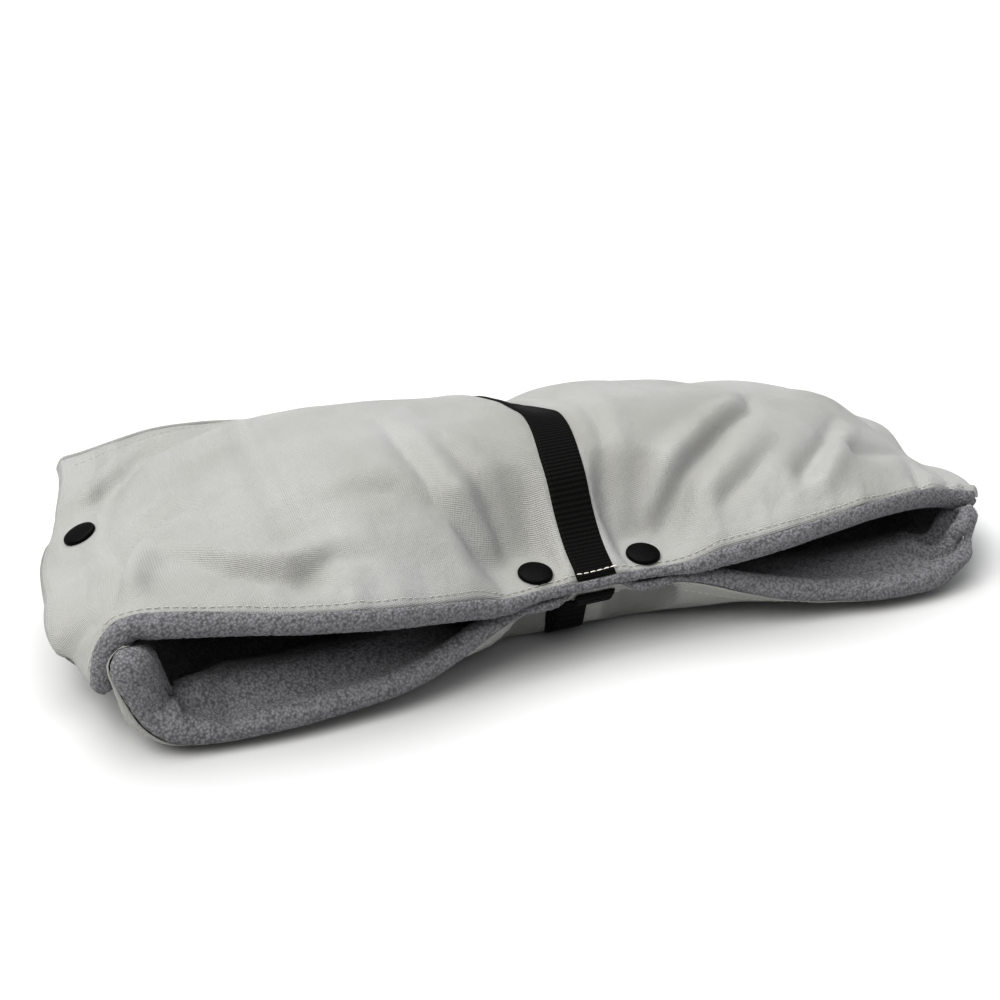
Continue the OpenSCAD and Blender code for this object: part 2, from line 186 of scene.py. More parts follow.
def front_pinch(x, y, depth, far):
    """The two front studs pinch the top panel well round them, and the bottom panel only near them."""
    beside = abs(np.maximum(abs(x), 11) - FRONT_STUD_X) + 8 * (1 - rise(abs(x), 11, 21)) * (depth == 0)
    return pinch(np.hypot(beside, y - front_axis_y(depth)), far if depth == 0 else PINCH_FAR_UNDER)


def end_pinch(x, y, depth, far):
    return pinch(np.hypot(abs(x) - end_axis_x(depth), y - STUD_Y_END), far)


def pulled(z, x, y, depth, far):
    """A panel's height once its studs have pulled it to their seats."""
    off_y = np.clip(y - front_axis_y(depth), -PINCH_FLAT_R, PINCH_FLAT_R)
    off_x = np.clip(abs(x) - end_axis_x(depth), -PINCH_FLAT_R, PINCH_FLAT_R)
    front = FRONT_SEAT_Z - depth * math.cos(FRONT_TILT) + off_y * math.tan(FRONT_TILT)
    end = END_SEAT_Z - depth * math.cos(END_TILT) - off_x * math.tan(END_TILT)
    z = mix(z, front, front_pinch(x, y, depth, PINCH_FAR_FRONT))
    return mix(z, end, end_pinch(x, y, depth, far))


def end_taper(v, corner, start):
    """Length factor that rounds a panel's corners and narrows it towards the fold."""
    return 1 - corner * np.maximum(0, 1 - v / 0.22) ** 2 - 0.14 * rise(v, start, 1.02)


def strap_axis(y):
    """The strap over the top drifts to the right behind the front studs and comes back to the fold."""
    return 5 * rise(y, -75, -15) * (1 - rise(y, 25, 85))


def settle(x, y):
    """Height to add to the top panel's plain shape: its crest, the groove that the strap pulls into it, a
    puff by the right end, and that end's droop in front of the crest and on it."""
    behind = rise(y, -50, 20)
    groove = behind * (1 - rise(y, 62, 96))
    lift = at(SETTLE, x) * behind - GROOVE_DEPTH * groove * bell((x - strap_axis(y), 14, 18), power=4)
    lift = lift + PUFF_H * bell((x, 180, 16), (y, -4, 20))
    droop = DROOP_FRONT * rise(y, -78, -58) * (1 - rise(y, -22, -6)) * rise(x, 186, 218)
    return lift - droop - DROOP_CREST * bell((y, -1, 17)) * rise(x, 198, 226)


def top_point(x, v):
    front, crest = at(TOP_FRONT_Y, x), at(CREST_Y, x)
    y = mix(front, SEAM_Y, v)
    low, high, seam = at(TOP_FRONT_Z, x), at(CREST_Z, x), at(TOP_SEAM_Z, x)
    climb = low + (high - low) * np.sin(math.pi / 2 * np.minimum((y - front) / (crest - front), 1))
    fall = high - (high - seam) * np.maximum((y - crest) / (SEAM_Y - crest), 0) ** at(REAR_POWER, x)
    bent, up = turned_end(x, HALF_LEN, rise(y, -20, -72) * (x < 0), 205.0, 22.0, 1.45, 6.5)
    drawn = 1 - 0.011 * bell((y, -8, 26)) * (x < 0)
    px = bent * drawn * end_taper(v, np.where(x < 0, 0.0, 0.077), 0.42)
    z = np.where(y < crest, climb, fall) + settle(x, y)
    return np.stack([px, y, pulled(z, px, y, 0, PINCH_FAR_END) - up], -1)


def turned_end(x, half, weight, start, radius, limit, straight):
    """A panel's end turned through an angle: place along the muff and distance off the panel for each x."""
    reach = mix(half, start + radius * limit + straight, weight)
    bend_from = 150.0
    arc = np.where(abs(x) < bend_from, abs(x),
                   bend_from + (abs(x) - bend_from) * (reach - bend_from) / (half - bend_from))
    past = np.maximum(0, arc - start)
    curve = np.maximum(weight, 1e-3) / radius
    angle = np.minimum(past * curve, limit)
    rest = past - angle / curve
    px = np.minimum(arc, start) + np.sin(angle) / curve + rest * np.cos(angle)
    return np.sign(x) * px, (1 - np.cos(angle)) / curve + rest * np.sin(angle)


def upturn(x, y):
    """The bottom panel's ends turn up at the front, and the left one is drawn in behind its corner."""
    left = x < 0
    px, up = turned_end(x, HALF_LEN_BOTTOM, rise(y, -25, -80), np.where(left, 200.0, 182.0),
                        np.where(left, 24.0, 34.0), np.where(left, 1.25, 1.0), np.where(left, 12.0, 8.0))
    drawn = 27 * np.clip((y + 101) / 50, 0, 1) * (1 - rise(y, -45, 15)) * rise(x, -145, -210)
    return px + drawn, up


def bottom_point(x, v):
    front, depth = at(BOTTOM_FRONT_Y, x), at(FRONT_RISE, x)
    y = mix(SEAM_Y, front, v)
    lip = np.maximum(0, (front + depth - y) / depth) ** 2
    curl = CURL_H * rise(abs(x), CURL_START, HALF_LEN_BOTTOM) * (1 - rise(y, 40, 90)) * rise(y, -90, -20)
    flat_x, up = upturn(x, y)
    px = flat_x * end_taper(1 - v, 0.02, 0.62)
    strap_room = (STRAP_T + 0.1) * (1 - rise(abs(px), STRAP_W / 2, STRAP_W / 2 + 12))
    z = at(BOTTOM_FRONT_Z, x) * lip + curl + up + 0.44 * (1 - rise(v, 0, 0.16)) + strap_room
    return np.stack([px, y, np.maximum(0, pulled(z, px, y, STACK_T, PINCH_FAR_LIFT))], -1)


def spine_point(x, v):
    """Round the fold: 0 at the top panel's seam, 1 at the bottom panel's."""
    top = top_point(x, np.ones_like(v))
    low = bottom_point(x * HALF_LEN_BOTTOM / HALF_LEN, np.zeros_like(v))
    middle, half = (top[..., 2] + low[..., 2]) / 2, (top[..., 2] - low[..., 2]) / 2
    return np.stack([mix(top[..., 0], low[..., 0], v), SEAM_Y + FOLD_BULGE * np.sin(math.pi * v),
                     middle + half * np.cos(math.pi * v)], -1)


def point(kind, x, v):
    """Any place on the outer face. The top runs from 0 at its front edge to 1 at the seam, and the bottom
    from 0 at the seam to 1 at its front edge; both go on round the fold past the seam."""
    if kind == "top":
        return np.where((v <= 1)[..., None], top_point(x, v), spine_point(x, v - 1))
    low = x * HALF_LEN_BOTTOM / HALF_LEN
    return np.where((v >= 0)[..., None], bottom_point(low, v), spine_point(x, 1 + v))


def thickness(kind, p):
    """A panel's thickness: thin where studs pinch it, and thick in the bottom's stuffed left front corner."""
    depth = 0 if kind == "top" else STACK_T
    between = pinch(np.hypot(np.maximum(0, abs(p[..., 0]) - FRONT_STUD_X), p[..., 1] - front_axis_y(depth)),
                    PINCH_FAR_FRONT)
    squeeze = np.maximum(between, end_pinch(p[..., 0], p[..., 1], depth, PINCH_FAR_LIFT))
    stuffed = 9 * rise(p[..., 0], -188, -212) * rise(p[..., 1], -66, -92) if kind == "bottom" else 0
    return mix(PANEL_T, PINCHED_T, squeeze) + stuffed


def stroke(x, y, points):
    """Signed distance to a polyline (above 0 on its left), and how far inside its ends a place is."""
    best = np.full(x.shape, 1e9)
    side = np.zeros(x.shape)
    share = np.zeros(x.shape)
    lengths = [math.dist(a, b) for a, b in zip(points, points[1:])]
    total, run = sum(lengths), 0.0
    for (ax, ay), (bx, by), length in zip(points, points[1:], lengths):
        dx, dy = (bx - ax) / length, (by - ay) / length
        t = np.clip((x - ax) * dx + (y - ay) * dy, 0, length)
        gap = np.hypot(x - ax - t * dx, y - ay - t * dy)
        nearer = gap < best
        side = np.where(nearer, np.sign((y - ay) * dx - (x - ax) * dy), side)
        share = np.where(nearer, (run + t) / total, share)
        best = np.minimum(best, gap)
        run += length
    return best * np.where(side == 0, 1, side), share


def creases(strokes, x, y):
    """Height that the strokes add at each place."""
    height = np.zeros(x.shape)
    for points, depth, width, ridge in strokes:
        away, share = stroke(x, y, points)
        fade = ease(0.2 + 5 * share) * np.clip(1 - share, 0, 1) ** 0.6
        height += depth * fade * np.exp(-(abs(away) / width) ** 1.4)
        if ridge:
            off = away - math.copysign(1.8 * width, ridge)
            height += abs(ridge) * fade * np.exp(-(off / (1.3 * width)) ** 2)
    return height


# ------------ seeded noise, the same on every run
def hashed(i, j, seed):
    """A number from 0 to 1 for each pair of whole numbers."""
    h = (i.astype(np.int64) * 374761393 + j.astype(np.int64) * 668265263 + seed * 362437) & 0xFFFFFFFF
    h = ((h ^ (h >> 13)) * 1274126177) & 0xFFFFFFFF
    h = ((h ^ (h >> 16)) * 2246822519) & 0xFFFFFFFF
    return ((h ^ (h >> 15)) & 0xFFFFFF) / float(0xFFFFFF)


def value_noise(x, y, size, seed):
    """Smooth noise from -1 to 1 with features of a size."""
    u, w = x / size, y / size
    i, j = np.floor(u), np.floor(w)
    a, b = ease(u - i), ease(w - j)
    low = mix(hashed(i, j, seed), hashed(i + 1, j, seed), a)
    high = mix(hashed(i, j + 1, seed), hashed(i + 1, j + 1, seed), a)
    return 2 * mix(low, high, b) - 1


def nubs(x, y, size, seed):
    """Height from 0 to 1 of the fleece's curls: 1 on a curl's top."""
    u, w = x / size, y / size
    i, j = np.floor(u), np.floor(w)
    best = np.full(u.shape, 9.0)
    for di in (-1, 0, 1):
        for dj in (-1, 0, 1):
            ci, cj = i + di, j + dj
            gap = np.hypot(ci + hashed(ci, cj, seed) - u, cj + hashed(ci, cj, seed + 7) - w)
            best = np.minimum(best, gap)
    return 1 - np.clip(best, 0, 1) ** 1.5


# ------------ from grids of points to meshes
def make_object(name, points, faces, uvs=None, values=None):
    """A mesh object from points in millimetres, quads, and optional values at the points."""
    mesh = bpy.data.meshes.new(name)
    mesh.vertices.add(len(points))
    mesh.vertices.foreach_set("co", (points * MM).astype(np.float32).ravel())
    mesh.loops.add(faces.size)
    mesh.loops.foreach_set("vertex_index", faces.astype(np.int32).ravel())
    mesh.polygons.add(len(faces))
    mesh.polygons.foreach_set("loop_start", np.arange(0, faces.size, faces.shape[1], dtype=np.int32))
    mesh.polygons.foreach_set("use_smooth", np.full(len(faces), True))
    mesh.update(calc_edges=True)
    if uvs is not None:
        layer = mesh.uv_layers.new(name="weave")
        layer.data.foreach_set("uv", (uvs[faces.ravel()] * MM).astype(np.float32).ravel())
    if values is not None:
        mesh.attributes.new("nap", "FLOAT", "POINT").data.foreach_set("value", values.astype(np.float32))
    bm = bmesh.new()
    bm.from_mesh(mesh)
    bmesh.ops.remove_doubles(bm, verts=bm.verts, dist=2e-6)
    bmesh.ops.dissolve_degenerate(bm, edges=bm.edges, dist=1e-7)
    bm.to_mesh(mesh)
    bm.free()
    mesh.validate()
    obj = bpy.data.objects.new(name, mesh)
    bpy.context.scene.collection.objects.link(obj)
    return obj


def solid(name, outer, inner, uvs=None, values=None, mask=None):
    """A closed mesh between two grids of points, with the cells where mask is true."""
    nu, nv = outer.shape[:2]
    cells = np.ones((nu - 1, nv - 1), bool) if mask is None else mask
    index = np.arange(nu * nv).reshape(nu, nv)
    a, b = index, index + nu * nv
    i, j = np.nonzero(cells)
    faces = [np.stack([a[i, j], a[i + 1, j], a[i + 1, j + 1], a[i, j + 1]], 1),
             np.stack([b[i, j], b[i, j + 1], b[i + 1, j + 1], b[i + 1, j]], 1)]
    rim = np.pad(cells, 1)
    below, above = rim[1:-1, :-1], rim[1:-1, 1:]
    i, j = np.nonzero(above & ~below)
    faces.append(np.stack([a[i + 1, j], a[i, j], b[i, j], b[i + 1, j]], 1))
    i, j = np.nonzero(below & ~above)
    faces.append(np.stack([a[i, j], a[i + 1, j], b[i + 1, j], b[i, j]], 1))
    left, right = rim[:-1, 1:-1], rim[1:, 1:-1]
    i, j = np.nonzero(right & ~left)
    faces.append(np.stack([a[i, j], a[i, j + 1], b[i, j + 1], b[i, j]], 1))
    i, j = np.nonzero(left & ~right)
    faces.append(np.stack([a[i, j + 1], a[i, j], b[i, j], b[i, j + 1]], 1))
    faces = np.concatenate(faces)
    way = np.cross(outer[1:, :-1] - outer[:-1, :-1], outer[:-1, 1:] - outer[:-1, :-1])
    if (way * (outer - inner)[:-1, :-1])[cells].sum() < 0:
        faces = faces[:, ::-1]
    points = np.concatenate([outer.reshape(-1, 3), inner.reshape(-1, 3)])
    used, back = np.unique(faces, return_inverse=True)

    def on_both(grid):
        return np.concatenate([grid, grid])[used]
    return make_object(name, points[used], back.reshape(faces.shape),
                       None if uvs is None else on_both(uvs.reshape(-1, 2)),
                       None if values is None else on_both(values.ravel()))


# ------------ columns and rows of a panel
SLOPE_X, SLOPE_V = 0.8, 0.8 / 120   # steps over which a face's slopes are taken, along x and v


def columns(step, hem_angles):
    """Columns along a panel: x, angle round the end hem, and side. The hem angles run from 0 outwards."""
    hem = np.array(hem_angles, float)
    inner = np.linspace(-HALF_LEN, HALF_LEN, int(round(2 * HALF_LEN / step)) + 1)
    xs = np.concatenate([np.full(len(hem), -HALF_LEN), inner, np.full(len(hem), HALF_LEN)])
    angles = np.concatenate([hem[::-1], np.zeros(len(inner)), hem])
    return xs, angles, np.where(xs < 0, -1.0, 1.0)


def place(kind, cols, rows, inset, bump=None):
    """Points of a layer. cols are x, hem angle and side; rows are v and the angle round the front roll,
    0 on the outer face and 180 on the inner. inset is the depth below the panel's own face, and bump a
    function of the outer point, roll angle and the distances along and across that gives extra height."""
    xs, hem, side = (np.asarray(c, float)[:, None] for c in cols)
    v, roll = (np.asarray(r, float)[None, :] for r in rows)
    x, v = np.broadcast_arrays(xs, v)
    p = point(kind, x, v)
    along = unit(point(kind, x + SLOPE_X, v) - point(kind, x - SLOPE_X, v))
    across = unit(point(kind, x, v + SLOPE_V) - point(kind, x, v - SLOPE_V))
    normal = unit(np.cross(along, across))
    front = -across if kind == "top" else across
    t = thickness(kind, p)
    hem, roll = np.radians(hem), np.radians(roll)
    hem, roll = np.broadcast_arrays(hem[..., None], roll[..., None])
    centre = p - normal * (t / 2)[..., None]
    way = (np.cos(hem) * (np.cos(roll) * normal + np.sin(roll) * front)
           + np.sin(hem) * side[..., None] * along)
    arc_x = x + side * (t / 2) * hem[..., 0]
    reach = PANEL_RUN * v + (1 if kind == "bottom" else -1) * (t / 2) * roll[..., 0]
    radius = t / 2 - inset
    if bump is not None:
        radius = radius + bump(p, np.degrees(roll[..., 0]), np.degrees(hem[..., 0]), arc_x, reach)
    return centre + radius[..., None] * way, np.stack([arc_x, reach], -1)


def keep_above_floor(outer, inner):
    """Raise both faces of a layer wherever its outer one would be below the floor."""
    raised = np.maximum(0, -outer[..., 2])
    outer[..., 2] += raised
    inner[..., 2] += raised


def cover_relief(kind):
    """Creases, strap groove and soft unevenness of a cover's outer face."""
    def relief(p, roll, hem, arc_x, reach):
        x, y = p[..., 0], p[..., 1]
        away = np.clip(1 - np.maximum(front_pinch(x, y, 0, 24), end_pinch(x, y, 0, 22)), 0, 1)
        height = 0.55 * value_noise(arc_x, reach, 34, 11) + 0.4 * value_noise(arc_x, reach, 15, 12)
        slanted = value_noise(arc_x * 0.9 + y * 0.45, (y - arc_x * 0.45) / 4.5, 11, 14)
        height = height + 0.35 * slanted * (1 - ease((abs(value_noise(x, y, 60, 15)) - 0.55) / 0.2))
        if kind == "top":
            height = height + 1.25 * creases(TOP_CREASES, x, y)
            fade = rise(y, -112, -96)
            across = x - strap_axis(y)
            height = height - fade * bell((across, 0, 11), power=4)
            height = height + 0.7 * fade * bell((abs(across), 18, 7))
            from_edge = y - at(TOP_FRONT_Y, x)
            pucker = value_noise(arc_x, from_edge * 0.25, 6.5, 16) * bell((from_edge, 7, 9))
            height = height + 0.9 * pucker
        height = height * away * np.cos(np.radians(roll)).clip(0, 1)
        deepest = 0.5 * thickness(kind, p)
        return np.where(height < 0, -deepest * np.tanh(-height / deepest), height)
    return relief


# Folds of the lining, written as TOP_CREASES is; a place is (along the muff, distance from the cover's edge
# round the front and inwards).
LINING_FOLDS = {
    "top": [([(-208, 4), (-203, 14), (-196, 30)], -1.6, 4, 0.8)],
    "bottom": [([(-216, 5), (-212, 22), (-208, 42)], -4.0, 5, 0),
               ([(-184, 8), (-180, 26), (-174, 52)], -4.5, 5.5, 1.5),
               ([(234, 37), (214, 42), (192, 58)], -9.0, 3.4, 4.0),
               ([(233, 21), (212, 29), (186, 47)], -9.0, 3.4, 4.0),
               ([(226, 8), (206, 19), (180, 36)], -8.0, 3.4, 3.4)]}
SWELL_H, LOBE_BULGE_H = 11, 10      # the bottom lining's swelling behind its front, and beside the left lobe


def lining_relief(kind):
    """Folds of the lining, and the way it swells inwards behind the front roll."""
    def relief(p, roll, hem, arc_x, reach):
        x, y = p[..., 0], p[..., 1]
        depth = y - at(TOP_FRONT_Y if kind == "top" else BOTTOM_FRONT_Y, x)
        away = 1 - np.maximum(front_pinch(x, y, 0, 46), end_pinch(x, y, 0, 46))
        height = creases(LINING_FOLDS[kind], arc_x, depth + thickness(kind, p) / 2 * np.radians(roll))
        if kind == "bottom":
            inside = rise(depth, 0, 12) * (roll > 170)
            swell = SWELL_H * rise(depth, 1, 23) * (1 - rise(depth, 28, 60))
            left_end = 1 - rise(arc_x, -174, -194)
            right_end = (1 - 0.3 * rise(arc_x, 0, 90)) * (1 - rise(arc_x, 190, 220))
            beside_lobe = LOBE_BULGE_H * bell((arc_x, -192, 11), (depth, 18, 17))
            swollen = inside * (swell * left_end * right_end + beside_lobe)
            height = height + swollen * np.cos(np.radians(hem)) ** 2
        return height * np.clip(away, 0, 1)
    return relief


# ------------ materials
class Graph:
    """The nodes of a material or of the world. Each method that adds a node gives back its output."""

    def __init__(self, owner):
        owner.use_nodes = True
        self.nodes, self.links = owner.node_tree.nodes, owner.node_tree.links

    def feed(self, node, inputs):
        """Link a node's inputs to other nodes' outputs, or set them to plain values."""
        for key, value in inputs.items():
            if isinstance(value, bpy.types.NodeSocket):
                self.links.new(value, node.inputs[key])
            else:
                node.inputs[key].default_value = value

    def add(self, kind, output, inputs=(), **settings):
        node = self.nodes.new(kind)
        for name, value in settings.items():
            setattr(node, name, value)
        self.feed(node, dict(inputs))
        return node.outputs[output]

    def split(self, vector):
        node = self.nodes.new("ShaderNodeSeparateXYZ")
        self.links.new(vector, node.inputs[0])
        return node.outputs

    def weave(self):
        """Distances along and across a piece, from its UV map."""
        parts = self.split(self.add("ShaderNodeUVMap", "UV", uv_map="weave"))
        return parts["X"], parts["Y"]

    def math(self, operation, *values):
        return self.add("ShaderNodeMath", 0, enumerate(values), operation=operation)

    def noise(self, vector, scale, detail=2.0, roughness=0.5):
        return self.add("ShaderNodeTexNoise", "Fac", {"Vector": vector, "Scale": scale, "Detail": detail,
                                                      "Roughness": roughness})

    def ramp(self, fac, *stops):
        """A colour ramp with stops of (position, colour)."""
        node = self.nodes.new("ShaderNodeValToRGB")
        elements = node.color_ramp.elements
        elements[0].position, elements[0].color = stops[0][0], (*stops[0][1], 1)
        elements[1].position, elements[1].color = stops[-1][0], (*stops[-1][1], 1)
        for position, colour in stops[1:-1]:
            elements.new(position).color = (*colour, 1)
        self.feed(node, {"Fac": fac})
        return node.outputs["Color"]

    def bump(self, height, strength, distance, under=None):
        """A bump over the normal of another one, if there is one under it."""
        inputs = {"Height": height, "Strength": strength, "Distance": distance}
        if under is not None:
            inputs["Normal"] = under
        return self.add("ShaderNodeBump", "Normal", inputs)


def new_material(name):
    """A material, its graph, its shader and the object coordinates that its textures use."""
    material = bpy.data.materials.new(name)
    graph = Graph(material)
    return material, graph, graph.nodes["Principled BSDF"], graph.add("ShaderNodeTexCoord", "Object")


def shell_material():
    """Coated polyester with a fine twill weave. The colour is darker in the weave's grooves: painted shade
    between the threads.
    """
    material, graph, shader, coords = new_material("coated_twill")
    u, w = graph.weave()
    thread = TAU / 0.00095
    drift = graph.noise(coords, 60, 3)
    warp = graph.math("ADD", graph.math("MULTIPLY", u, thread), graph.math("MULTIPLY", drift, 5.0))
    weft = graph.math("MULTIPLY", w, thread)
    ridge = graph.math("SINE", graph.math("ADD", graph.math("MULTIPLY", warp, 0.5), weft))
    floats = graph.math("SINE", warp)
    weave = graph.math("MULTIPLY", graph.math("ADD", ridge, 1), 0.5)
    weave = graph.math("MULTIPLY_ADD", floats, 0.22, weave)
    height = graph.math("MULTIPLY_ADD", graph.noise(coords, 900, 2), 0.7, weave)
    cloud = graph.noise(coords, 14, 4)
    tone = graph.ramp(cloud, (0.3, (0.36, 0.356, 0.333)), (0.7, (0.43, 0.428, 0.415)))
    # Painted shade: the weave's grooves are darker than the threads' tops, as if shaded between the threads.
    threads = graph.ramp(weave, (0.0, (0.86, 0.86, 0.86)), (1.0, (1.0, 1.0, 1.0)))
    colour = graph.add("ShaderNodeMix", "Result", {"Factor": 1.0, "A": tone, "B": threads},
                       data_type="RGBA", blend_type="MULTIPLY")
    crumple = graph.bump(graph.noise(coords, 70, 4, 0.55), 0.45, 0.0028)
    graph.feed(shader, {"Base Color": colour, "Specular IOR Level": 0.4, "Sheen Weight": 0.1,
                        "Roughness": graph.math("MULTIPLY_ADD", cloud, 0.16, 0.38),
                        "Normal": graph.bump(height, 0.9, 0.00022, crumple)})
    return material


def fleece_material():
    """Grey fleece with short curls. The colour is darker between the curls, which is painted shade in the pits,
    and varies at random in clumps.
    """
    material, graph, shader, coords = new_material("curly_fleece")
    nap = graph.add("ShaderNodeAttribute", "Fac", attribute_name="nap")
    fibres = graph.noise(coords, 1500, 3, 0.7)
    clumps = graph.noise(coords, 330, 3, 0.6)
    curls = graph.add("ShaderNodeTexVoronoi", "Distance", {"Scale": 780, "Randomness": 1.0, "Vector": coords})
    tops = graph.math("SUBTRACT", 1, curls)
    # Painted shade: the colour falls off away from the curls' tops (Voronoi, and below the curl height kept in
    # nap), on top of random tone in clumps.
    shade = graph.math("MULTIPLY_ADD", clumps, 0.35, graph.math("MULTIPLY", tops, 0.65))
    shade = graph.math("MULTIPLY_ADD", nap, 0.15, shade)
    colour = graph.ramp(shade, (0.36, (0.105, 0.102, 0.108)), (0.6, (0.180, 0.177, 0.185)),
                        (0.84, (0.258, 0.254, 0.265)))
    graph.feed(shader, {"Base Color": colour, "Roughness": 0.95, "Specular IOR Level": 0.15,
                        "Sheen Weight": 0.12, "Sheen Roughness": 0.6,
                        "Normal": graph.bump(fibres, 0.5, 0.0004, graph.bump(tops, 0.9, 0.0007))})
    return material


def webbing_material():
    """Black webbing: ribs across it, each broken into short warp threads. The colour is a little lighter on the
    ribs' tops and darker between them, which is painted shade, with random fibre tone.
    """
    material, graph, shader, coords = new_material("black_webbing")
    u, w = graph.weave()
    fibres = graph.noise(coords, 1800, 3, 0.7)
    wander = graph.noise(coords, 110, 2)
    run = graph.math("MULTIPLY_ADD", wander, 1.2, graph.math("MULTIPLY", w, TAU / 0.0016))
    warp = graph.math("SINE", graph.math("MULTIPLY", u, TAU / 0.0014))
    height = graph.math("MULTIPLY_ADD", warp, 0.35, graph.math("SINE", run))
    # Painted shade: the rib height lightens the ribs' tops and darkens the valleys between them; the fibre
    # noise is random tone.
    level = graph.math("MULTIPLY_ADD", height, 0.15, graph.math("MULTIPLY", fibres, 0.9))
    tone = graph.ramp(level, (0.15, (0.0015, 0.0015, 0.0015)), (0.5, (0.006, 0.006, 0.0055)),
                      (0.9, (0.020, 0.020, 0.018)))
    graph.feed(shader, {"Base Color": tone, "Specular IOR Level": 0.08,
                        "Roughness": graph.math("MULTIPLY_ADD", fibres, 0.2, 0.5),
                        "Normal": graph.bump(fibres, 0.4, 0.0002, graph.bump(height, 0.6, 0.00030))})
    return material


def plain_material(name, dark, light, roughness, scale, bump, metallic=0.0, specular=0.5, sheen=0.0):
    """A moulded, spun or metal surface: two close tones, uneven gloss and a fine grain."""
    material, graph, shader, coords = new_material(name)
    grain = graph.noise(coords, scale, 3, 0.6)
    graph.feed(shader, {"Base Color": graph.ramp(grain, (0.3, dark), (0.7, light)), "Metallic": metallic,
                        "Specular IOR Level": specular, "Sheen Weight": sheen,
                        "Roughness": graph.math("MULTIPLY_ADD", grain, 0.12, roughness),
                        "Normal": graph.bump(grain, bump, 0.0003)})
    return material


SHELL = shell_material()
FLEECE = fleece_material()
WEBBING = webbing_material()
THREAD = plain_material("cream_thread", (0.44, 0.43, 0.39), (0.58, 0.57, 0.52), 0.6, 2500, 0.5)
BAR_THREAD = plain_material("white_thread", (0.62, 0.60, 0.55), (0.78, 0.76, 0.70), 0.6, 2500, 0.5)
BLACK_THREAD = plain_material("black_thread", (0.006, 0.006, 0.006), (0.02, 0.02, 0.02), 0.6, 2500, 0.5)
WADDING = plain_material("white_wadding", (0.72, 0.72, 0.70), (0.86, 0.86, 0.84), 0.9, 300, 0.8, sheen=0.3)
STUD = plain_material("black_stud", (0.0015, 0.0015, 0.0015), (0.004, 0.004, 0.004), 0.22, 500, 0.03,
                      specular=0.06)
STEEL = plain_material("spring_steel", (0.45, 0.45, 0.46), (0.62, 0.62, 0.64), 0.25, 900, 0.1, metallic=1.0)


def finish_piece(obj, material, body=None, replaces=()):
    obj.data.materials.append(material)
    if body:
        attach(obj, body)
    if replaces:
        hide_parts(*replaces)
    return obj


def bend_round_fold(obj):
    """Bake the piece's transform into its mesh; the piece is attached to neither panel."""
    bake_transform(obj)


# ------------ covers
HEM = list(range(15, 151, 15))
ROLL = list(range(15, 181, 15))
HEM_RIM_FROM = 75           # hem angle from which the cover wraps the fleece's roll
COVER_TURN = {"top": 0, "bottom": 30}   # how far each cover turns round its own front edge
EDGE_V = {"top": 0.0, "bottom": 1.0}    # where along v each panel's front edge lies
PANEL_ROWS = np.linspace(0, 1, 101)


def cover(name, kind):
    """The outer fabric: its face, the hems round both ends, and a rim round an end of the front roll: the
    left end on the top panel, and both on the bottom one."""
    vs = PANEL_ROWS
    cols = columns(2.0, HEM)
    if kind == "top":
        rows_v = np.concatenate([np.zeros(len(ROLL)), vs])
        rows_roll = np.concatenate([ROLL[::-1], np.zeros(len(vs))])
    else:
        rows_v = np.concatenate([vs, np.ones(len(ROLL))])
        rows_roll = np.concatenate([np.zeros(len(vs)), ROLL])
    relief = cover_relief(kind)

    def bump(p, roll, hem, arc_x, reach):
        proud = 0.5 * rise(hem, 12, 32)
        edge = rise(abs(reach), 6, 0) if kind == "top" else rise(roll, 25, 45)
        edge = edge * (1 - rise(hem, 0, 30))
        return relief(p, roll, hem, arc_x, reach) + proud - 0.9 * edge + 0.8 * np.sin(np.radians(roll))
    outer, uvs = place(kind, cols, (rows_v, rows_roll), 0.0, bump)
    inner, _ = place(kind, cols, (rows_v, rows_roll), SHELL_T, bump)
    keep_above_floor(outer, inner)
    steps = np.linalg.norm(np.diff(outer, axis=1), axis=2)
    uvs[..., 1] = np.concatenate([np.zeros((len(steps), 1)), np.cumsum(steps, 1)], 1)
    hem = np.array(cols[1])
    full = (rows_roll[:-1] <= COVER_TURN[kind]) & (rows_roll[1:] <= COVER_TURN[kind])
    in_rim = (np.minimum(hem[:-1], hem[1:]) >= HEM_RIM_FROM) & (np.maximum(hem[:-1], hem[1:]) <= 90)
    past_tip = np.maximum(hem[:-1], hem[1:]) > 90
    flat = (rows_roll[:-1] == 0) & (rows_roll[1:] == 0)
    behind = abs(rows_v - EDGE_V[kind])[:-1] > 0.2
    if kind == "top":
        in_rim = in_rim & (cols[2][:-1] < 0)
    mask = ((full[None, :] & ~past_tip[:, None]) | ((flat & behind)[None, :] & past_tip[:, None])
            | in_rim[:, None])
    return solid(name, outer, inner, uvs, mask=mask)


# ------------ fleece
FLEECE_HEM = list(range(8, 89, 8))
FLEECE_ROLL = list(range(0, 181, 10))
FINE_DEPTH, FINE, COARSE = 62, 1.05, 4.0    # rows are FINE apart as far in as FINE_DEPTH, then COARSE
CURL_SIZE = 2.2


def depth_rows(kind, depths):
    """Places along v for depths in from the front edge, and v of that edge itself."""
    return (depths / PANEL_RUN if kind == "top" else 1 - depths / PANEL_RUN), EDGE_V[kind]


